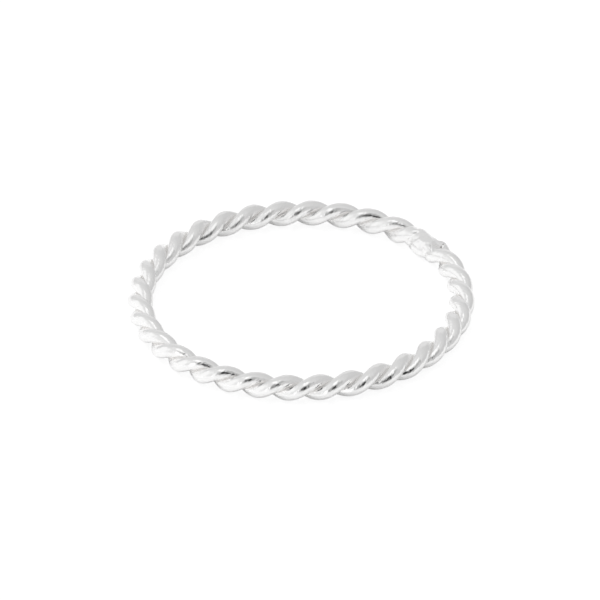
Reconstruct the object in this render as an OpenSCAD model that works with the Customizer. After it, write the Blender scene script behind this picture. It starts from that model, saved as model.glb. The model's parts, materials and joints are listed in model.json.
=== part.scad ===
// A thin rope twist ring: two round silver wires twisted together, bent into a loop and soldered shut.
// It lies flat on its side, with the finger hole along +Z and the floor at z = 0.

/* [Ring] */
// Clear diameter of the finger hole, between the lobes of the twist
inner_d = 17.3; // [14:0.1:22]

/* [Wires] */
// Diameter of each of the two round wires
wire_d = 0.81; // [0.6:0.01:0.9]
// Depth to which the tight twist presses the wires into each other
press_d = 0.12; // [0.04:0.01:0.16]
// Half turns of the twist in one round of the ring, seen as lobes along its edge
half_turns = 33; // [24:1:36]
// Turn of the first wire at the seam, from the outside of the ring towards its top
twist_start = 13; // [-90:1:90]
// How far the twist, made by hand, runs ahead of an even one and falls behind it
twist_waver = 8; // [0:1:12]

/* [Solder seam] */
// Angle of the seam round the ring, counter-clockwise from +X
seam_angle = 40; // [0:1:359]
// Angle that the seam spans round the ring
seam_span_angle = 22; // [12:1:40]
// Extra twist that closes the loop within the seam
seam_twist = 72; // [0:1:90]
// Thickness of the solder that fills the grooves at the seam
solder_d = 1.24; // [0.8:0.01:1.3]
// Depth to which the lobes are filed down at the seam
filed_depth = 0.05; // [0:0.01:0.1]

/* [Fineness] */
// Sections across the twist for each half turn
sections_per_lobe = 8; // [6:1:9]
// Facets round each wire in one section
facets_per_wire = 10; // [8:1:11]

/* [Hidden] */

wire_r = wire_d / 2;
// Distance of each wire's centre from the middle of the twist
helix_r = wire_r - press_d / 2;
// Half the thickness of the twisted pair
twist_r = helix_r + wire_r;
// Radius of the ring at the middle of the twist, and that line's height over the floor
ring_r = inner_d / 2 + twist_r;
ring_z = twist_r;

sections = half_turns * sections_per_lobe;
points = 2 * facets_per_wire;

// Angle from the seam, between -180 and 180, of a place u degrees further round the ring
function from_seam(u) = u > 180 ? u - 360 : u;

// How much a place belongs to the seam: 1 in its middle, falling softly to 0 at its ends
function seam_share(u) = (1 + cos(180 * min(1, 2 * abs(from_seam(u)) / seam_span_angle))) / 2;

// Smooth step from 0 to 1
function ease(x) = let (c = min(1, max(0, x))) c * c * (3 - 2 * c);

// Share of the seam's extra twist that lies before the place u, from 0 to 1 round the whole ring
function seam_step(u) = ease(0.5 + from_seam(u) / seam_span_angle) + (u > 180 ? 0.5 : -0.5);

// Slow waver of the twist, in two and in three waves round the ring
function waver(u) = twist_waver * (cos(2 * u + 105) + 0.65 * cos(3 * u + 41));

// Turn of the first wire round the middle of the twist, in degrees
function twist_at(u) =
    twist_start + half_turns * u / 2 + seam_twist * (seam_step(u) - u / 360) + waver(u);

// Degrees of twist for each degree of the ring: the slope of twist_at without its waver
function twist_rate(u) =
    let (x = from_seam(u) / seam_span_angle, bell = abs(x) < 0.5 ? 6 * (0.25 - x * x) : 0)
    half_turns / 2 + seam_twist * (bell / seam_span_angle - 1 / 360);

// One wire winds as a helix whose pitch is 360 * lead. Cut square across the twist, its round
// section becomes a kidney. This is the kidney's point at the angle a round the wire, where 0 faces
// the other wire and 180 faces away, with the wire's centre on +X.
function kidney(a, lead) =
    let (
        slope = norm([helix_r, lead]),
        lag = -wire_r * helix_r / (lead * slope) * sin(a) * 180 / PI,
        out = helix_r - wire_r * cos(a),
        side = wire_r * sin(a) * lead / slope
    )
    [out * cos(lag) + side * sin(lag), out * sin(lag) - side * cos(lag)];

// Angle round the wire at which its kidney leaves the other wire's, found by halving
function parting(lead, lo = 0, hi = 120, steps = 18) =
    let (mid = (lo + hi) / 2)
    steps == 0 ? mid :
    kidney(mid, lead).x < 0 ? parting(lead, mid, hi, steps - 1) : parting(lead, lo, mid, steps - 1);

// Solder fills the grooves up to its own thickness, and the file takes the lobes' tops off
function finished(p, share) =
    let (
        r = norm(p),
        filled = max(r, share * solder_d / 2),
        filed = min(filled, twist_r - share * filed_depth)
    )
    p * filed / r;

// Outline of both wires together at the place u, before it is turned by the twist
function pair_section(u) =
    let (
        lead = ring_r / twist_rate(u),
        first = parting(lead),
        span = (360 - 2 * first) / facets_per_wire,
        share = seam_share(u),
        half = [for (i = [0 : facets_per_wire - 1]) finished(kidney(first + span * i, lead), share)]
    )
    concat(half, -half);

// The section at the place u, turned by the twist and set on the ring
function ring_section(u) =
    let (turn = twist_at(u), t = seam_angle + u)
    [
        for (p = pair_section(u))
        let (
            reach = ring_r + p.x * cos(turn) - p.y * sin(turn),
            rise = p.x * sin(turn) + p.y * cos(turn)
        )
        [reach * cos(t), reach * sin(t), ring_z + rise]
    ];

// The soldered pair of wires as one closed loop. After an odd number of half turns each wire meets
// the other's start, so the last section joins the first one half a section further on.
module twisted_band() {
    shift = half_turns % 2 == 1 ? facets_per_wire : 0;
    vertices = [for (i = [0 : sections - 1]) each ring_section(360 * i / sections)];
    faces = [
        for (i = [0 : sections - 1], j = [0 : points - 1])
        let (
            next = (i + 1) % sections,
            step = i == sections - 1 ? shift : 0,
            a = i * points + j,
            b = i * points + (j + 1) % points,
            c = next * points + (j + 1 + step) % points,
            d = next * points + (j + step) % points
        )
        each [[a, b, d], [b, c, d]]
    ];
    color("silver") polyhedron(vertices, faces);
}

twisted_band();
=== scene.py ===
"""Rope twist ring: the looks of a thin silver ring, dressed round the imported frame.

The ring is two round wires, twisted together left-handed and soldered into one loop. It lies on its side
on a white table in a white light tent. All lengths are metres unless a name says millimetres.
"""
from __future__ import annotations

import json
import logging
import math
from dataclasses import dataclass, field
from enum import Enum

import bpy
import numpy as np
from mathutils import Matrix, Vector


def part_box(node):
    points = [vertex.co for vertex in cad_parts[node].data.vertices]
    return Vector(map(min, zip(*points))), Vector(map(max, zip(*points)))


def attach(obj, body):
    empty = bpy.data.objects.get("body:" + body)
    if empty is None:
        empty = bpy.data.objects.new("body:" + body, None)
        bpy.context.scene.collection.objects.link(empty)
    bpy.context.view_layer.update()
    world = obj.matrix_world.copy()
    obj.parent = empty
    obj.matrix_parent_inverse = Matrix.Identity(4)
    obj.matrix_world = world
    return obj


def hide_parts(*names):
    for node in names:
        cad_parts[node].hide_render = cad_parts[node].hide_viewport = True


LOG = logging.getLogger("rope_twist_ring")
MM = 0.001

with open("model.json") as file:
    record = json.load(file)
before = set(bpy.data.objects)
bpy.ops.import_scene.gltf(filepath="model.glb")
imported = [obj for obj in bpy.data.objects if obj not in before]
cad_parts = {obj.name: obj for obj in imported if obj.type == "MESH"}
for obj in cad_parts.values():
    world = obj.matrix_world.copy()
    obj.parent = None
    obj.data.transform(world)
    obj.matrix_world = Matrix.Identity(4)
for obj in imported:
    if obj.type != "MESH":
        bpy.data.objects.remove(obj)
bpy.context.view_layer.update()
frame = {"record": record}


class Lay(Enum):
    """The hand of a twist. The number turns the wires from outside to top as the ring runs anti-clockwise."""

    LEFT = 1
    RIGHT = -1


def ease(share: np.ndarray) -> np.ndarray:
    """Smooth step from 0 to 1."""
    share = np.clip(share, 0.0, 1.0)
    return share * share * (3.0 - 2.0 * share)


def rgba(grey: float, warmth: float = 0.0) -> tuple[float, float, float, float]:
    """A grey with a little more red and less blue for warmth above 0."""
    return (grey * (1.0 + warmth), grey, grey * (1.0 - warmth), 1.0)


# Shader building


@dataclass
class Shading:
    """A node tree being wired up.

    Attributes:
        tree: The material's, world's or group's node tree.
    """

    tree: bpy.types.NodeTree

    def add(self, kind: str, **settings: object) -> bpy.types.Node:
        """Adds one node.

        Args:
            kind: The node's type name.
            settings: Properties of the node to set.

        Returns:
            The new node.
        """
        node = self.tree.nodes.new(kind)
        for name, value in settings.items():
            setattr(node, name, value)
        return node

    def feed(self, socket: bpy.types.NodeSocket, value: object) -> None:
        """Sets a socket to a plain value, or links it to another socket.

        Args:
            socket: The input to fill.
            value: A number, colour, vector or output socket.
        """
        if isinstance(value, bpy.types.NodeSocket):
            self.tree.links.new(value, socket)
        else:
            socket.default_value = value

    def math(self, operation: str, *values: object, clamp: bool = False) -> bpy.types.NodeSocket:
        """Works out one number.

        Args:
            operation: The Math node's operation.
            values: Its inputs, in order.
            clamp: Whether the result is kept between 0 and 1.

        Returns:
            The result's socket.
        """
        node = self.add("ShaderNodeMath", operation=operation, use_clamp=clamp)
        for socket, value in zip(node.inputs, values):
            self.feed(socket, value)
        return node.outputs[0]

    def fade(
        self, value: object, start: float, end: float, low: object = 0.0, high: object = 1.0
    ) -> bpy.types.NodeSocket:
        """Goes smoothly from one value to another.

        Args:
            value: What is followed.
            start: Where the change begins.
            end: Where it ends.
            low: The result up to start.
            high: The result from end on.

        Returns:
            The result's socket.
        """
        node = self.add("ShaderNodeMapRange", interpolation_type="SMOOTHSTEP")
        names = ("Value", "From Min", "From Max", "To Min", "To Max")
        for name, given in zip(names, (value, start, end, low, high)):
            self.feed(node.inputs[name], given)
        return node.outputs["Result"]

    def noise(
        self, place: object, scale: float, detail: float = 2.0, roughness: float = 0.5
    ) -> bpy.types.NodeSocket:
        """Even noise from 0 to 1.

        Args:
            place: Places at which it is taken.
            scale: Patches in each unit of length.
            detail: Finer layers laid over the first.
            roughness: How strong the finer layers are.

        Returns:
            The noise's socket.
        """
        node = self.add("ShaderNodeTexNoise", noise_dimensions="3D")
        names = ("Vector", "Scale", "Detail", "Roughness")
        for name, given in zip(names, (place, scale, detail, roughness)):
            self.feed(node.inputs[name], given)
        return node.outputs["Fac"]

    def stretch(
        self, place: object, factors: tuple[float, float, float], turn: float = 0.0
    ) -> bpy.types.NodeSocket:
        """Stretches and turns places.

        Args:
            place: The places.
            factors: Stretch in each direction.
            turn: Turn round Z in degrees.

        Returns:
            The new places' socket.
        """
        node = self.add("ShaderNodeMapping")
        self.feed(node.inputs["Vector"], place)
        node.inputs["Rotation"].default_value = (0.0, 0.0, math.radians(turn))
        node.inputs["Scale"].default_value = factors
        return node.outputs["Vector"]

    def blend(self, share: object, first: object, second: object) -> bpy.types.NodeSocket:
        """Mixes two colours.

        Args:
            share: Share of the second colour.
            first: The first colour.
            second: The second colour.

        Returns:
            The mixed colour's socket.
        """
        node = self.add("ShaderNodeMix", data_type="RGBA")
        self.feed(node.inputs["Factor"], share)
        self.feed(node.inputs[6], first)
        self.feed(node.inputs[7], second)
        return node.outputs[2]

    def bump(
        self, height: object, rise: float, under: bpy.types.NodeSocket | None = None
    ) -> bpy.types.NodeSocket:
        """Raises a surface's normal.

        Args:
            height: Height of each place, where 1 stands for the rise.
            rise: Length that a height of 1 stands for.
            under: Normal of the surface that is raised, or None for the mesh's own.

        Returns:
            The new normal's socket.
        """
        node = self.add("ShaderNodeBump")
        self.feed(node.inputs["Height"], height)
        self.feed(node.inputs["Distance"], rise)
        if under is not None:
            self.feed(node.inputs["Normal"], under)
        return node.outputs["Normal"]


def effect_group(
    name: str, inputs: dict[str, float | None], outputs: tuple[str, ...]
) -> tuple[Shading, dict, dict]:
    """Starts a shader node group for an effect that several finishes share.

    Args:
        name: The group's name.
        inputs: Input names with their defaults, where None stands for a vector.
        outputs: Names of the value outputs.

    Returns:
        The group's shading, its input sockets by name and its output sockets by name.
    """
    tree = bpy.data.node_groups.new(name, "ShaderNodeTree")
    for label, default in inputs.items():
        kind = "NodeSocketVector" if default is None else "NodeSocketFloat"
        socket = tree.interface.new_socket(label, in_out="INPUT", socket_type=kind)
        if default is not None:
            socket.default_value = default
    for label in outputs:
        tree.interface.new_socket(label, in_out="OUTPUT", socket_type="NodeSocketFloat")
    shading = Shading(tree)
    entry, leave = shading.add("NodeGroupInput"), shading.add("NodeGroupOutput")
    return shading, {k: entry.outputs[k] for k in inputs}, {k: leave.inputs[k] for k in outputs}


@dataclass(frozen=True)
class SharedEffects:
    """The wear effects that the silver and the table share, each a node group built once.

    Attributes:
        hairlines: Fine straight scratches in two directions.
        cloudiness: Slow patches of duller and brighter polish.
    """

    hairlines: bpy.types.NodeTree
    cloudiness: bpy.types.NodeTree

    @classmethod
    def build(cls) -> "SharedEffects":
        """Makes both groups."""
        return cls(cls._hairlines(), cls._cloudiness())

    @staticmethod
    def _hairlines() -> bpy.types.NodeTree:
        """Hairline scratches: long thin dips where stretched noise passes a threshold.

        Returns:
            The node group.
        """
        shading, given, result = effect_group(
            "hairline_scratches", {"Place": None, "Amount": 0.5}, ("Depth", "Mask")
        )
        masks = []
        for turn, seed in ((24.0, 3.1), (-61.0, 8.7)):
            moved = shading.add("ShaderNodeVectorMath", operation="ADD")
            shading.feed(moved.inputs[0], given["Place"])
            moved.inputs[1].default_value = (seed, seed * 2.0, seed * 3.0)
            lines = shading.noise(shading.stretch(moved.outputs[0], (0.35, 9.0, 1.0), turn), 3.0, 1.0, 0.4)
            masks.append(shading.fade(lines, 0.66, 0.74))
        both = shading.math("MAXIMUM", *masks)
        worn = shading.math("MULTIPLY", both, given["Amount"])
        shading.feed(result["Mask"], worn)
        shading.feed(result["Depth"], shading.math("MULTIPLY", worn, -1.0))
        return shading.tree

    @staticmethod
    def _cloudiness() -> bpy.types.NodeTree:
        """Cloudy polish: slow noise between a low and a high value.

        Returns:
            The node group.
        """
        shading, given, result = effect_group(
            "cloudy_polish", {"Place": None, "Low": 0.0, "High": 1.0}, ("Value",)
        )
        patches = shading.noise(given["Place"], 1.4, 3.0, 0.55)
        shading.feed(result["Value"], shading.fade(patches, 0.34, 0.68, given["Low"], given["High"]))
        return shading.tree


def place_effect(shading: Shading, group: bpy.types.NodeTree, **values: object) -> bpy.types.Node:
    """Places a shared effect in a material.

    Args:
        shading: The material's shading.
        group: The effect's node group.
        values: Its inputs by name.

    Returns:
        The group node.
    """
    node = shading.add("ShaderNodeGroup", node_tree=group)
    for label, value in values.items():
        shading.feed(node.inputs[label], value)
    return node


# Finishes


@dataclass(frozen=True)
class SilverFinish:
    """Polished sterling silver wire with a soldered seam.

    Attributes:
        grey: Reflected share of the bare metal.
        warmth: Its slight lean to yellow.
        groove_grey: Reflected share in the bottom of the grooves, where polish doesn't reach.
        polish: Roughness of the lobes, from the best to the dullest patches.
        groove_rough: Roughness in the grooves.
        scratch_rough: How much rougher the hairline scratches are.
        inside_rough: How much rougher the inside of the ring is, where the polishing wheel reaches less.
        solder_rough: Roughness of the solder at the seam.
        pit_shade_grey: Colour in the pits of the solder, darker than the metal: painted shade, strongest in
            the deepest pits.
        wave_height: Height of the fine waves that bending and polishing left.
        line_height: Height of the lines that drawing left along the wire.
        hairline_height: Depth of the hairline scratches.
        dimple_height: Height of the unevenness of the solder.
    """

    grey: float = 0.955
    warmth: float = 0.003
    groove_grey: float = 0.93
    polish: tuple[float, float] = (0.035, 0.085)
    groove_rough: float = 0.42
    scratch_rough: float = 0.08
    inside_rough: float = 0.15
    solder_rough: float = 0.12
    pit_shade_grey: float = 0.34
    wave_height: float = 0.018 * MM
    line_height: float = 0.004 * MM
    hairline_height: float = 0.0008 * MM
    dimple_height: float = 0.005 * MM

    def make(self, effects: SharedEffects, wire_length_mm: float, wire_round_mm: float) -> bpy.types.Material:
        """Builds the material.

        Args:
            effects: The shared wear effects.
            wire_length_mm: Length of wire that the map's first axis spans.
            wire_round_mm: Length round the wire that its second axis spans.

        Returns:
            The material.
        """
        material = bpy.data.materials.new("polished_silver")
        material.use_nodes = True
        material.node_tree.nodes.clear()
        shading = Shading(material.node_tree)
        wire_map = shading.add("ShaderNodeUVMap", uv_map=TwistedBand.WIRE_MAP)
        place = shading.stretch(wire_map.outputs["UV"], (wire_length_mm, wire_round_mm, 1.0))
        groove, solder, grain, pit_shade, inside = (
            shading.add("ShaderNodeAttribute", attribute_name=name).outputs["Fac"]
            for name in TwistedBand.SHARES
        )

        drawn_lines = shading.noise(shading.stretch(place, (0.5, 6.5, 1.0)), 1.6, 2.0, 0.6)
        scratches = place_effect(shading, effects.hairlines, Place=place, Amount=0.8)
        low, high = self.polish
        polish = place_effect(shading, effects.cloudiness, Place=place, Low=low, High=high)
        dimples = shading.noise(place, 9.0, 2.0, 0.5)
        waves = shading.noise(place, 5.0, 1.0, 0.5)

        dull = shading.fade(groove, 0.25, 1.0)
        tint = shading.blend(dull, rgba(self.grey, self.warmth), rgba(self.groove_grey, self.warmth * 4.0))
        # Painted shade: the pits of the solder are coloured dark, the more the deeper they are.
        tint = shading.blend(shading.fade(pit_shade, 0.25, 0.9), tint, rgba(self.pit_shade_grey, 0.03))
        rough = shading.math(
            "MULTIPLY_ADD", scratches.outputs["Mask"], self.scratch_rough, polish.outputs["Value"]
        )
        rough = shading.math("MULTIPLY_ADD", inside, self.inside_rough, rough)
        rough = shading.fade(dull, 0.0, 1.0, rough, self.groove_rough)
        rough = shading.fade(solder, 0.2, 0.9, rough, self.solder_rough)

        normal = shading.bump(waves, self.wave_height)
        normal = shading.bump(drawn_lines, self.line_height, normal)
        normal = shading.bump(scratches.outputs["Depth"], self.hairline_height, normal)
        normal = shading.bump(shading.math("MULTIPLY", dimples, grain), self.dimple_height, normal)

        metal = shading.add("ShaderNodeBsdfPrincipled")
        metal.inputs["Metallic"].default_value = 1.0
        shading.feed(metal.inputs["Base Color"], tint)
        shading.feed(metal.inputs["Roughness"], rough)
        shading.feed(metal.inputs["Normal"], normal)
        leave = shading.add("ShaderNodeOutputMaterial")
        shading.feed(leave.inputs["Surface"], metal.outputs["BSDF"])
        return material


@dataclass(frozen=True)
class TableFinish:
    """White acrylic table top, faintly glossy.

    The lens sees it as paper white. The silver sees it as the light falls on it.

    Attributes:
        grey: Reflected share of the white.
        polish: Roughness, from the glossiest to the dullest patches.
        glow: Brightness that shines through the sheet.
        seen_grey: Reflected share of the white as the lens sees it.
        seen_glow: Brightness of the sheet as the lens sees it.
    """

    grey: float = 0.91
    polish: tuple[float, float] = (0.24, 0.32)
    glow: float = 0.07
    seen_grey: float = 0.16
    seen_glow: float = 0.86

    def make(self, effects: SharedEffects) -> bpy.types.Material:
        """Builds the material.

        Args:
            effects: The shared wear effects.

        Returns:
            The material.
        """
        material = bpy.data.materials.new("white_acrylic")
        material.use_nodes = True
        material.node_tree.nodes.clear()
        shading = Shading(material.node_tree)
        place = shading.stretch(shading.add("ShaderNodeTexCoord").outputs["Object"], (200.0, 200.0, 200.0))
        low, high = self.polish
        polish = place_effect(shading, effects.cloudiness, Place=place, Low=low, High=high)
        scratches = place_effect(shading, effects.hairlines, Place=place, Amount=0.05)
        rough = shading.math("ADD", polish.outputs["Value"], scratches.outputs["Mask"])
        sheets = []
        for grey, glow in ((self.grey, self.glow), (self.seen_grey, self.seen_glow)):
            sheet = shading.add("ShaderNodeBsdfPrincipled")
            sheet.inputs["Base Color"].default_value = rgba(grey)
            sheet.inputs["Emission Color"].default_value = rgba(glow)
            sheet.inputs["Emission Strength"].default_value = 1.0
            shading.feed(sheet.inputs["Roughness"], rough)
            sheets.append(sheet.outputs["BSDF"])
        choice = shading.add("ShaderNodeMixShader")
        shading.feed(choice.inputs[0], shading.add("ShaderNodeLightPath").outputs["Is Camera Ray"])
        shading.feed(choice.inputs[1], sheets[0])
        shading.feed(choice.inputs[2], sheets[1])
        leave = shading.add("ShaderNodeOutputMaterial")
        shading.feed(leave.inputs["Surface"], choice.outputs[0])
        return material


# The ring


class Touch(Enum):
    """What was done at a flat place in the seam."""

    FILLED = "filled with solder"
    FILED = "filed away"
    LEVELLED = "filled and then filed level"


@dataclass(frozen=True)
class SeamFace:
    """A flat place in the soldered seam.

    Attributes:
        corners: Its corners in turn, each as degrees along the ring from +X and degrees around the twist,
            where 0 is outside and 90 on top.
        facing: Place around that it faces.
        lean: How steeply it sinks backwards along the ring.
        top: Place along the ring at which distance is meant.
        distance: From the middle of the twist to the flat.
        crown: How far it falls away from a plane on either side.
        touch: What was done there.
        edge: Width of its soft edge.
    """

    corners: tuple[tuple[float, float], ...]
    facing: float
    lean: float
    top: float
    distance: float
    crown: float
    touch: Touch
    edge: float = 0.07 * MM

    def mask(self, along: np.ndarray, around: np.ndarray, ring_r: float) -> np.ndarray:
        """Works out where the flat is.

        Args:
            along: Places round the ring.
            around: Places round the twist.
            ring_r: Radius of the ring at the middle of the twist.

        Returns:
            Share of each place that belongs to the flat, soft at its edges.
        """
        scale = np.radians(np.array([ring_r, self.distance]))
        share = np.ones_like(along)
        for start, end in zip(self.corners, self.corners[1:] + self.corners[:1]):
            first, last = np.array(start) * scale, np.array(end) * scale
            side = (last - first) / np.linalg.norm(last - first)
            inwards = side[0] * (around * scale[1] - first[1]) - side[1] * (along * scale[0] - first[0])
            share = share * ease(inwards / self.edge + 0.5)
        return share

    def shape(
        self, along: np.ndarray, around: np.ndarray, radius: np.ndarray, ring_r: float, cap: float
    ) -> np.ndarray:
        """Brings the surface to the flat.

        Args:
            along: Places round the ring.
            around: Places round the twist.
            radius: Distance of the surface from the middle of the twist.
            ring_r: Radius of the ring at the middle of the twist.
            cap: Most that solder may reach from the middle of the twist.

        Returns:
            The new distances.
        """
        sunk = self.lean * np.radians(along - self.top) * ring_r
        aside = np.radians(np.clip(around - self.facing, -75.0, 75.0))
        plane = (self.distance + sunk - self.crown * np.tan(aside) ** 2) / np.cos(aside)
        level = radius
        if self.touch != Touch.FILED:
            level = np.maximum(level, np.minimum(plane, cap))
        if self.touch != Touch.FILLED:
            level = np.minimum(level, plane)
        return radius + self.mask(along, around, ring_r) * (level - radius)


@dataclass(frozen=True)
class SeamLump:
    """A round drop of solder in the seam.

    Attributes:
        along: Its middle round the ring, in degrees from +X.
        around: Its middle round the twist, where 0 is outside and 90 on top.
        reach: Half its size along and around, in degrees.
        base: Distance of its foot from the middle of the twist.
        height: Its height over the foot.
        fillet: Size of the soft fillet at its foot.
    """

    along: float
    around: float
    reach: tuple[float, float]
    base: float
    height: float
    fillet: float = 0.09 * MM

    def shape(self, along: np.ndarray, around: np.ndarray, radius: np.ndarray) -> np.ndarray:
        """Lays the drop on the surface.

        Args:
            along: Places round the ring.
            around: Places round the twist.
            radius: Distance of the surface from the middle of the twist.

        Returns:
            The new distances.
        """
        away = ((along - self.along) / self.reach[0]) ** 2 + ((around - self.around) / self.reach[1]) ** 2
        drop = self.base + self.height * np.sqrt(np.maximum(0.0, 1.0 - away))
        drop = np.where(away < 1.0, drop, 0.0)
        gap = np.clip(0.5 + (drop - radius) / (2.0 * self.fillet), 0.0, 1.0)
        return radius + (drop - radius) * gap + self.fillet * gap * (1.0 - gap)


@dataclass(frozen=True)
class SeamPit:
    """A small hole in the solder, coloured dark as painted shade.

    Attributes:
        along: Its middle round the ring, in degrees from +X.
        around: Its middle round the twist, where 0 is outside and 90 on top.
        size: Its radius in degrees along the ring.
        depth: Its depth.
    """

    along: float
    around: float
    size: float
    depth: float

    LENGTHENING = 16.0

    def sink(self, along: np.ndarray, around: np.ndarray) -> np.ndarray:
        """How far the pit sinks each place. A degree around is a LENGTHENING-th as long as one along."""
        aside = ((along - self.along) / self.size) ** 2
        above = ((around - self.around) / self.size / self.LENGTHENING) ** 2
        return self.depth * np.exp(-aside - above)


@dataclass(frozen=True)
class GrainPatch:
    """A place where the solder is grainy.

    Attributes:
        along: Its middle round the ring, in degrees from +X.
        around: Its middle round the twist, where 0 is outside and 90 on top.
        reach: Half its size along and around, in degrees.
    """

    along: float
    around: float
    reach: tuple[float, float]

    def share(self, along: np.ndarray, around: np.ndarray) -> np.ndarray:
        """How much each place belongs to the patch, from 0 to 1."""
        aside, above = (along - self.along) / self.reach[0], (around - self.around) / self.reach[1]
        return np.exp(-(aside**4) - above**4)


@dataclass(frozen=True)
class SolderedSeam:
    """What solder and file left where the loop was closed.

    Attributes:
        flats: The flat places, in the order in which they were made.
        drops: The smooth drops of solder on the inside.
        pits: The small holes in the solder, coloured dark as painted shade.
        grain: The grainy patches.
        cap: Most that solder in a flat reaches from the middle of the twist.
        full_shade_depth: Depth from which a pit is painted fully dark as shade.
    """

    flats: tuple[SeamFace, ...] = (
        SeamFace(
            ((33.2, 68.0), (41.7, 60.0), (41.4, 95.0), (37.4, 143.0), (33.2, 116.0)),
            100.0, 0.03, 37.0, 0.672 * MM, 0.09 * MM, Touch.LEVELLED,
        ),
        SeamFace(
            ((26.0, 60.0), (29.0, 28.0), (33.2, 28.0), (33.2, 116.0), (30.2, 142.0), (26.0, 118.0)),
            76.0, 0.42, 33.2, 0.680 * MM, 0.0, Touch.FILLED,
        ),
        SeamFace(
            ((34.6, 2.0), (41.6, 2.0), (41.6, 86.0), (34.6, 86.0)),
            45.0, 0.13, 36.0, 0.548 * MM, 0.0, Touch.FILED,
        ),
        SeamFace(
            ((32.4, 2.0), (35.2, 2.0), (35.2, 82.0), (32.4, 82.0)),
            47.0, 0.0, 33.8, 0.630 * MM, 0.0, Touch.FILED,
        ),
        SeamFace(
            ((42.4, 24.0), (46.4, 24.0), (46.4, 96.0), (42.6, 96.0)),
            64.0, 0.0, 44.4, 0.625 * MM, 0.0, Touch.FILED,
        ),
    )
    drops: tuple[SeamLump, ...] = (
        SeamLump(38.2, 195.0, (4.8, 62.0), 0.48 * MM, 0.37 * MM),
        SeamLump(34.4, 150.0, (3.4, 38.0), 0.42 * MM, 0.28 * MM),
        SeamLump(44.0, 200.0, (2.6, 56.0), 0.44 * MM, 0.17 * MM),
        SeamLump(31.3, 34.0, (2.0, 28.0), 0.60 * MM, 0.15 * MM),
    )
    pits: tuple[SeamPit, ...] = (
        SeamPit(30.1, 67.0, 0.34, 0.065 * MM),
        SeamPit(30.5, 56.0, 0.26, 0.050 * MM),
        SeamPit(30.9, 44.0, 0.24, 0.035 * MM),
    )
    grain: tuple[GrainPatch, ...] = (
        GrainPatch(43.6, 145.0, (2.2, 48.0)),
        GrainPatch(35.6, 136.0, (1.8, 14.0)),
    )
    cap: float = 0.752 * MM
    full_shade_depth: float = 0.05 * MM

    def shape(self, along: np.ndarray, around: np.ndarray, radius: np.ndarray, ring_r: float) -> np.ndarray:
        """Shapes the surface near the seam.

        Args:
            along: Places round the ring, in degrees from +X.
            around: Places round the twist, in degrees.
            radius: Distance of the surface from the middle of the twist.
            ring_r: Radius of the ring at the middle of the twist.

        Returns:
            The new distances.
        """
        for flat in self.flats:
            radius = flat.shape(along, around, radius, ring_r, self.cap)
        for drop in self.drops:
            radius = drop.shape(along, around, radius)
        return radius - self.pit_depth(along, around)

    def pit_depth(self, along: np.ndarray, around: np.ndarray) -> np.ndarray:
        """How deep the pits are at each place."""
        return sum(pit.sink(along, around) for pit in self.pits)

    def pit_shade_share(self, along: np.ndarray, around: np.ndarray) -> np.ndarray:
        """How dark each place is painted as shade in the pits, from 0 to 1."""
        return np.minimum(1.0, self.pit_depth(along, around) / self.full_shade_depth)

    def grain_share(self, along: np.ndarray, around: np.ndarray) -> np.ndarray:
        """How grainy each place is, from 0 to 1."""
        return np.minimum(1.0, sum(patch.share(along, around) for patch in self.grain))


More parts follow.
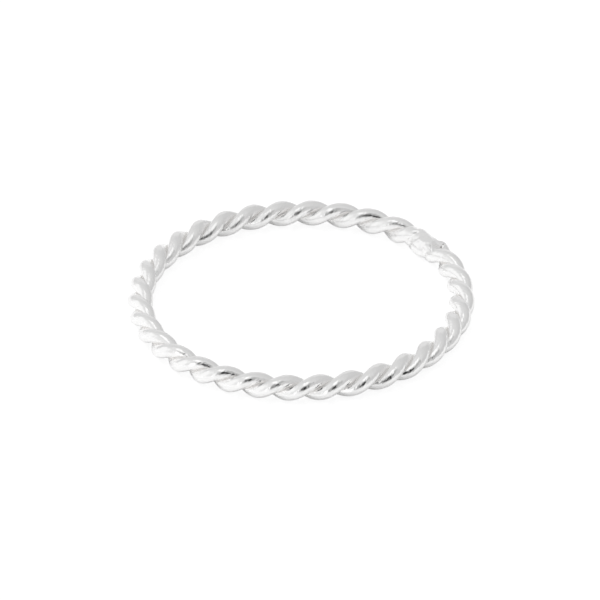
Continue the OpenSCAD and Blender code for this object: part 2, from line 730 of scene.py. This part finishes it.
@dataclass
class TwistedBand:
    """Both wires as one soldered loop.

    The driving sizes follow the CAD part. The finger hole and the thickness are read from the frame.

    Attributes:
        hole_r: Clear radius of the finger hole.
        thick: Thickness of the twisted pair.
        wire_d: Diameter of each wire.
        half_turns: Half turns of the twist round the ring, an odd number.
        lay: Hand of the twist.
        twist_start: Turn of the first wire at the seam, in degrees.
        seam_angle: Place of the seam round the ring, in degrees.
        seam_spread: Stretch of the ring that the seam takes, in degrees.
        seam_twist: Extra twist that closes the loop within the seam, in degrees.
        waver: Slow waver of the hand-made twist: waves round the ring, degrees and phase in degrees.
        solder_d: Thickness of the solder that fills the grooves at the seam.
        solder_look: Depth of solder from which the metal looks like solder.
        filed_depth: Depth to which the lobes are filed down at the seam.
        sections_per_lobe: Sections across the twist for each half turn.
        facets_per_wire: Facets round each wire in one section.
        crowded: Where the sections lie closer: middle, half width and soft end, in degrees from the seam.
        crowding: Share by which they lie closer there.
        ripple: Height of the hand-made unevenness of the wires.
        seam: The shape of the soldered seam.
    """

    hole_r: float
    thick: float
    wire_d: float = 0.81 * MM
    half_turns: int = 33
    lay: Lay = Lay.LEFT
    twist_start: float = 13.0
    seam_angle: float = 40.0
    seam_spread: float = 22.0
    seam_twist: float = 72.0
    waver: tuple[tuple[int, float, float], ...] = ((1, 2.4, 155.0), (2, 8.0, 105.0), (3, 5.3, 41.0))
    solder_d: float = 1.24 * MM
    solder_look: float = 0.05 * MM
    filed_depth: float = 0.05 * MM
    sections_per_lobe: int = 40
    facets_per_wire: int = 36
    crowded: tuple[float, float, float] = (-4.5, 11.0, 5.5)
    crowding: float = 1.3
    ripple: float = 0.004 * MM
    seam: SolderedSeam = SolderedSeam()

    NODE = "twisted_band"
    WIRE_MAP = "wire_map"
    GROOVE = "groove"
    SOLDER = "solder"
    GRAIN = "grain"
    # Name of the share that paints shade into the pits of the solder.
    PIT_SHADE = "pit_shade"
    INSIDE = "inside"
    SHARES = (GROOVE, SOLDER, GRAIN, PIT_SHADE, INSIDE)

    @classmethod
    def from_frame(cls) -> "TwistedBand":
        """Reads the hole from the record's mount and the thickness from the CAD node's box.

        Returns:
            The band.
        """
        mounts = {mount["name"]: mount for mount in frame["record"]["mounts"]}
        low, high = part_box(cls.NODE)
        return cls(hole_r=mounts["finger_hole"]["dims"]["r_mm"] * MM, thick=high.z - low.z)

    @property
    def wire_r(self) -> float:
        """Radius of one wire."""
        return self.wire_d / 2.0

    @property
    def helix_r(self) -> float:
        """Distance of each wire's centre from the middle of the twist."""
        return self.thick / 2.0 - self.wire_r

    @property
    def ring_r(self) -> float:
        """Radius of the ring at the middle of the twist."""
        return self.hole_r + self.thick / 2.0

    @property
    def wire_length_mm(self) -> float:
        """Length of both wires end to end.

        Returns:
            The length in millimetres.
        """
        rope = 2.0 * math.pi * self.ring_r
        wound = math.pi * self.half_turns * self.helix_r
        return 2.0 * math.hypot(rope, wound) / MM

    @staticmethod
    def from_seam(u: np.ndarray) -> np.ndarray:
        """Angle from the seam, between -180 and 180, of places u degrees further round."""
        return np.where(u > 180.0, u - 360.0, u)

    def seam_share(self, u: np.ndarray) -> np.ndarray:
        """How much each place belongs to the seam, from 0 to 1 in its middle."""
        reach = np.minimum(1.0, 2.0 * np.abs(self.from_seam(u)) / self.seam_spread)
        return (1.0 + np.cos(np.pi * reach)) / 2.0

    def twist_at(self, u: np.ndarray) -> np.ndarray:
        """Turn of the first wire round the middle of the twist.

        Args:
            u: Places in degrees from the seam, from 0 to 360.

        Returns:
            The turn at each place, in degrees.
        """
        step = ease(0.5 + self.from_seam(u) / self.seam_spread) + np.where(u > 180.0, 0.5, -0.5)
        even = self.half_turns * u / 2.0 + self.seam_twist * (step - u / 360.0)
        waver = sum(size * np.cos(np.radians(waves * u + phase)) for waves, size, phase in self.waver)
        return self.twist_start + self.lay.value * (even + waver)

    def twist_rate(self, u: np.ndarray) -> np.ndarray:
        """How fast the twist turns.

        Args:
            u: Places in degrees from the seam, from 0 to 360.

        Returns:
            Degrees of twist for each degree of the ring.
        """
        x = self.from_seam(u) / self.seam_spread
        bell = np.where(np.abs(x) < 0.5, 6.0 * (0.25 - x * x), 0.0)
        return self.half_turns / 2.0 + self.seam_twist * (bell / self.seam_spread - 1.0 / 360.0)

    def kidney(self, a: np.ndarray, lead: np.ndarray) -> tuple[np.ndarray, np.ndarray]:
        """Outline of one wire cut square across the twist.

        Args:
            a: Angles round the wire in radians, 0 facing the other wire.
            lead: Length along the twist for each radian of turn.

        Returns:
            Coordinates away from and beside the middle of the twist.
        """
        slope = np.hypot(self.helix_r, lead)
        lag = -self.wire_r * self.helix_r / (lead * slope) * np.sin(a)
        out = self.helix_r - self.wire_r * np.cos(a)
        side = self.wire_r * np.sin(a) * lead / slope
        return out * np.cos(lag) + side * np.sin(lag), out * np.sin(lag) - side * np.cos(lag)

    def parting(self, lead: np.ndarray) -> np.ndarray:
        """Finds by halving where one wire's outline leaves the other's.

        Args:
            lead: Length along the twist for each radian of turn.

        Returns:
            The angle round the wire, in radians.
        """
        low, high = np.zeros_like(lead), np.full_like(lead, math.radians(120.0))
        for _ in range(30):
            middle = (low + high) / 2.0
            inside = self.kidney(middle, lead)[0] < 0.0
            low, high = np.where(inside, middle, low), np.where(inside, high, middle)
        return (low + high) / 2.0

    def unevenness(self, along: np.ndarray, a: np.ndarray) -> np.ndarray:
        """Slow waves in the wire's surface, from winding and bending by hand.

        Args:
            along: Place along the wire in turns of the ring, from 0 to 2.
            a: Angle round the wire in radians.

        Returns:
            Height of the surface at each place.
        """
        waves = ((37, 1, 0.4, 1.0), (61, 2, 1.9, 0.7), (97, 1, 4.0, 0.45), (143, 3, 2.6, 0.3))
        total = sum(
            part * np.sin(math.pi * lengthwise * along + crosswise * a + phase)
            for lengthwise, crosswise, phase, part in waves
        )
        return self.ripple * total / sum(part for *_, part in waves)

    def sections(self) -> np.ndarray:
        """Spreads the sections round the ring, closer together in the seam.

        Returns:
            Their places in degrees from the seam.
        """
        middle, half_width, soft_end = self.crowded
        fine = np.linspace(0.0, 360.0, 36001)
        away = np.abs(self.from_seam(fine) - middle)
        crowd = 1.0 + self.crowding * ease(1.0 - (away - half_width) / soft_end)
        passed = np.concatenate([[0.0], np.cumsum((crowd[1:] + crowd[:-1]) / 2.0)])
        count = self.half_turns * self.sections_per_lobe
        return np.interp(np.arange(count) / count * passed[-1], passed, fine)

    def surface(self) -> tuple[np.ndarray, dict[str, np.ndarray], np.ndarray]:
        """Works out every point of the surface.

        Returns:
            Points by section and place in the section, the share of groove, solder, grain, painted pit shade
            and inside at each, and the sections' places in degrees from the seam.
        """
        u = self.sections()[:, None]
        lead = self.ring_r / self.twist_rate(u)
        first = self.parting(lead)
        step = np.arange(self.facets_per_wire)[None, :] / self.facets_per_wire
        a = first + (2.0 * math.pi - 2.0 * first) * step
        out, side = self.kidney(a, lead)
        share = self.seam_share(u)
        halves, grooves, solders = [], [], []
        edge = np.minimum(step, 1.0 - step) * 2.0
        for wire, sign in ((0, 1.0), (1, -1.0)):
            reach = np.hypot(out, side)
            raised = self.unevenness(u / 360.0 + wire, a) * ease(edge * 3.0)
            filled = np.maximum(reach, share * self.solder_d / 2.0)
            filed = np.minimum(filled, self.thick / 2.0 - share * self.filed_depth)
            scale = (filed + raised - self.ripple * (filed > self.thick / 2.0 - self.ripple)) / reach
            halves.append(np.stack([sign * out * scale, sign * side * scale], -1))
            grooves.append((1.0 - ease(edge * 2.8)) * (1.0 - ease(share * 3.0)))
            solders.append(np.broadcast_to(ease((filled - reach) / self.solder_look) * share, a.shape))
        section = np.concatenate(halves, 1)
        turn, place = np.radians(self.twist_at(u)), np.radians(self.seam_angle + u)
        around = np.arctan2(section[..., 1], section[..., 0]) + turn
        radius = np.hypot(section[..., 0], section[..., 1])
        degrees = np.degrees(around) % 360.0
        along = np.broadcast_to(self.seam_angle + self.from_seam(u), degrees.shape)
        radius = self.seam.shape(along, degrees, radius, self.ring_r)
        reach = self.ring_r + radius * np.cos(around)
        points = [reach * np.cos(place), reach * np.sin(place), self.thick / 2.0 + radius * np.sin(around)]
        shares = {
            self.GROOVE: np.concatenate(grooves, 1),
            self.SOLDER: np.concatenate(solders, 1),
            self.GRAIN: self.seam.grain_share(along, degrees),
            # Painted shade: how dark the pits of the solder are coloured.
            self.PIT_SHADE: self.seam.pit_shade_share(along, degrees),
            self.INSIDE: ease(-1.5 * np.cos(around)),
        }
        return np.stack(points, -1), shares, u[:, 0]

    def build(self) -> bpy.types.Object:
        """Makes the band's mesh with its wire map and the shares that its finish reads.

        Returns:
            The mesh object.
        """
        points, shares, places = self.surface()
        count, around = points.shape[:2]
        half = around // 2
        i, j = np.meshgrid(np.arange(count), np.arange(around), indexing="ij")
        ahead = (i + 1) % count
        swap = np.where(i == count - 1, half * (self.half_turns % 2), 0)
        a, b = i * around + j, i * around + (j + 1) % around
        c, d = ahead * around + (j + 1 + swap) % around, ahead * around + (j + swap) % around
        faces = np.stack([d, c, b, a], -1).reshape(-1, 4)
        mesh = bpy.data.meshes.new(self.NODE)
        mesh.from_pydata(points.reshape(-1, 3).tolist(), [], faces.tolist())
        mesh.polygons.foreach_set("use_smooth", np.ones(len(faces), bool))
        for name, values in shares.items():
            layer = mesh.attributes.new(name, "FLOAT", "POINT")
            layer.data.foreach_set("value", values.astype(np.float32).ravel())
        wire = j // half
        turns = np.append(places, 360.0) / 360.0
        start, end = (turns[i] + wire) / 2.0, (turns[i + 1] + wire) / 2.0
        low, high = (j % half) / half, (j % half + 1) / half
        corners = [np.stack(pair, -1) for pair in ((end, low), (end, high), (start, high), (start, low))]
        wire_map = mesh.uv_layers.new(name=self.WIRE_MAP)
        wire_map.data.foreach_set("uv", np.stack(corners, 2).astype(np.float32).ravel())
        mesh.validate()
        band = bpy.data.objects.new("twisted_band_visual", mesh)
        bpy.context.scene.collection.objects.link(band)
        return band

    def dress(self, band: bpy.types.Object, effects: SharedEffects) -> None:
        """Gives the band its silver and ties it to the frame.

        Args:
            band: The mesh object.
            effects: The shared wear effects.
        """
        finish = SilverFinish()
        band.data.materials.append(finish.make(effects, self.wire_length_mm, math.pi * self.wire_d / MM))
        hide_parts(self.NODE)
        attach(band, "root")


# The studio


@dataclass
class StudioTable:
    """The plain white table under the ring.

    Attributes:
        side: Length of its sides.
    """

    side: float = 3.0

    def build(self, effects: SharedEffects) -> bpy.types.Object:
        """Makes the table top.

        Args:
            effects: The shared wear effects.

        Returns:
            The mesh object.
        """
        half = self.side / 2.0
        mesh = bpy.data.meshes.new("table")
        corners = [(-half, -half, 0.0), (half, -half, 0.0), (half, half, 0.0), (-half, half, 0.0)]
        mesh.from_pydata(corners, [], [(0, 1, 2, 3)])
        table = bpy.data.objects.new("table", mesh)
        bpy.context.scene.collection.objects.link(table)
        mesh.materials.append(TableFinish().make(effects))
        return table


@dataclass(frozen=True)
class Panel:
    """A soft-edged patch of the light tent.

    Attributes:
        azimuth: Middle of the patch in degrees, 0 at the camera's side and 90 to its right.
        elevation: Middle of the patch above the horizon, in degrees.
        width: Full width in degrees of azimuth.
        height: Full height in degrees.
        soft: Width of its soft edge in degrees.
        light: Brightness, where 1 shows as paper white.
        tilt: Degrees by which its upper and lower edges rise for each degree to the left.
    """

    azimuth: float
    elevation: float
    width: float
    height: float
    soft: float
    light: float
    tilt: float = 0.0


@dataclass(frozen=True)
class SoftBox:
    """A soft box behind the tent's cloth. It lights the table, and the silver shows a panel in its place.

    Attributes:
        name: Its name.
        azimuth: Place in degrees, 0 at the camera's side and 90 to its right.
        elevation: Height above the horizon in degrees.
        spread: Apparent width in degrees.
        strength: Light on a surface that faces it.
    """

    name: str
    azimuth: float
    elevation: float
    spread: float
    strength: float

    def build(self) -> bpy.types.Object:
        """Makes the lamp.

        Returns:
            The lamp object.
        """
        lamp = bpy.data.lights.new(self.name, "SUN")
        lamp.energy, lamp.angle = self.strength, math.radians(self.spread)
        box = bpy.data.objects.new(self.name, lamp)
        around, up = math.radians(self.azimuth), math.radians(self.elevation)
        towards = Vector((math.sin(around) * math.cos(up), -math.cos(around) * math.cos(up), math.sin(up)))
        box.rotation_euler = towards.to_track_quat("Z", "Y").to_euler()
        box.visible_glossy = False
        bpy.context.scene.collection.objects.link(box)
        return box


@dataclass
class LightTent:
    """The white tent round the ring: an even glow with brighter and darker patches.

    Attributes:
        even: Brightness of the plain tent.
        to_the_right: Change of that brightness from the middle to the right.
        to_the_back: Change from the middle to the back.
        panels: Patches laid over that glow, in order.
        boxes: The lamps behind the cloth.
    """

    even: float = 0.727
    to_the_right: float = -0.082
    to_the_back: float = -0.081
    panels: dict[str, Panel] = field(
        default_factory=lambda: {
            "left_light": Panel(-92.0, 12.0, 58.0, 66.0, 20.0, 1.00),
            "left_reflector": Panel(-27.0, 10.0, 15.0, 34.0, 7.0, 1.25),
            "top_light": Panel(-46.5, 80.0, 101.0, 37.0, 6.0, 1.06, 0.2),
            "dark_room": Panel(6.0, 24.0, 50.0, 48.0, 20.0, 0.39),
            "right_of_the_lens": Panel(30.0, 45.0, 38.0, 32.0, 12.0, 0.45),
            "back_wall": Panel(182.0, 18.0, 52.0, 42.0, 20.0, 0.77),
            "right_wall": Panel(75.0, 18.5, 78.0, 36.0, 25.0, 0.61),
            "left_back_corner": Panel(-145.0, 11.0, 22.0, 40.0, 10.0, 0.71),
            "lens": Panel(7.0, 27.0, 24.0, 31.0, 8.0, 0.03),
        }
    )
    boxes: tuple[SoftBox, ...] = (
        SoftBox("left_box", -112.0, 36.0, 60.0, 1.05),
        SoftBox("top_box", -48.0, 78.0, 70.0, 0.40),
    )

    def build(self) -> bpy.types.World:
        """Makes the world's shader and the lamps.

        Returns:
            The world, which is set on the scene.
        """
        world = bpy.data.worlds.new("light_tent")
        world.use_nodes = True
        world.node_tree.nodes.clear()
        shading = Shading(world.node_tree)
        axes = shading.add("ShaderNodeSeparateXYZ")
        shading.feed(axes.inputs[0], shading.add("ShaderNodeTexCoord").outputs["Generated"])
        x, y, z = axes.outputs
        azimuth = shading.math("DEGREES", shading.math("ARCTAN2", x, shading.math("MULTIPLY", y, -1.0)))
        elevation = shading.math("DEGREES", shading.math("ARCSINE", z))
        glow = shading.math("MULTIPLY_ADD", x, self.to_the_right, self.even)
        glow = shading.math("MULTIPLY_ADD", y, self.to_the_back, glow)
        for panel in self.panels.values():
            aside = shading.math("WRAP", shading.math("SUBTRACT", azimuth, panel.azimuth), 180.0, -180.0)
            above = shading.math("SUBTRACT", elevation, panel.elevation)
            above = shading.math("MULTIPLY_ADD", aside, panel.tilt, above)
            masks = []
            for distance, size in ((aside, panel.width), (above, panel.height)):
                away = shading.math("ABSOLUTE", distance)
                start, end = (size - panel.soft) / 2.0, (size + panel.soft) / 2.0
                masks.append(shading.fade(away, start, end, 1.0, 0.0))
            mask = shading.math("MULTIPLY", *masks)
            gain = shading.math("SUBTRACT", panel.light, glow)
            glow = shading.math("ADD", glow, shading.math("MULTIPLY", mask, gain))
        background = shading.add("ShaderNodeBackground")
        shading.feed(background.inputs["Color"], glow)
        leave = shading.add("ShaderNodeOutputWorld")
        shading.feed(leave.inputs["Surface"], background.outputs[0])
        bpy.context.scene.world = world
        for box in self.boxes:
            box.build()
        return world


@dataclass
class PhotoCamera:
    """The camera at the photograph's place.

    Attributes:
        elevation: Height over the table as seen from the ring, in degrees.
        distance: From the ring's middle to the lens.
        view_width: Width of the view at the ring's middle.
        roll: Turn of the ring in the picture, in degrees anti-clockwise.
        aside: Share of the picture's width by which the ring's middle lies right of its centre.
        above: The same upwards.
    """

    elevation: float = 32.97
    distance: float = 518.0 * MM
    view_width: float = 35.08 * MM
    roll: float = 0.51
    aside: float = 0.9 / 600.0
    above: float = 1.1 / 600.0

    def build(self, middle: Vector) -> bpy.types.Object:
        """Makes the camera and sets it on the scene.

        Args:
            middle: The ring's middle.

        Returns:
            The camera object.
        """
        lens = bpy.data.cameras.new("camera")
        lens.sensor_width = 36.0
        lens.lens = lens.sensor_width * self.distance / self.view_width
        lens.clip_start, lens.clip_end = 0.01, 20.0
        lens.shift_x, lens.shift_y = -self.aside, -self.above
        lens.dof.use_dof = False
        rise, roll = math.radians(self.elevation), math.radians(self.roll)
        back = Vector((0.0, -math.cos(rise), math.sin(rise)))
        right, up = Vector((1.0, 0.0, 0.0)), Vector((0.0, math.sin(rise), math.cos(rise)))
        side, top = right * math.cos(roll) - up * math.sin(roll), up * math.cos(roll) + right * math.sin(roll)
        camera = bpy.data.objects.new("camera", lens)
        facing = Matrix((side, top, back)).transposed().to_4x4()
        camera.matrix_world = Matrix.Translation(middle + back * self.distance) @ facing
        bpy.context.scene.collection.objects.link(camera)
        bpy.context.scene.camera = camera
        return camera


def main() -> None:
    """Builds the ring, the table, the light and the camera."""
    logging.basicConfig(level=logging.INFO, format="%(message)s")
    bpy.context.scene.view_settings.view_transform = "Standard"
    effects = SharedEffects.build()
    ring = TwistedBand.from_frame()
    band = ring.build()
    ring.dress(band, effects)
    LOG.info("twisted band: %d faces, ring radius %.3f mm", len(band.data.polygons), ring.ring_r / MM)
    table = StudioTable().build(effects)
    LOG.info("table: %s", table.name)
    tent = LightTent()
    world = tent.build()
    LOG.info("light: %s with %d panels and %d soft boxes", world.name, len(tent.panels), len(tent.boxes))
    camera = PhotoCamera().build(Vector((0.0, 0.0, ring.thick / 2.0)))
    LOG.info("camera: %s, lens %.0f mm", camera.name, camera.data.lens)


if __name__ == "__main__":
    main()
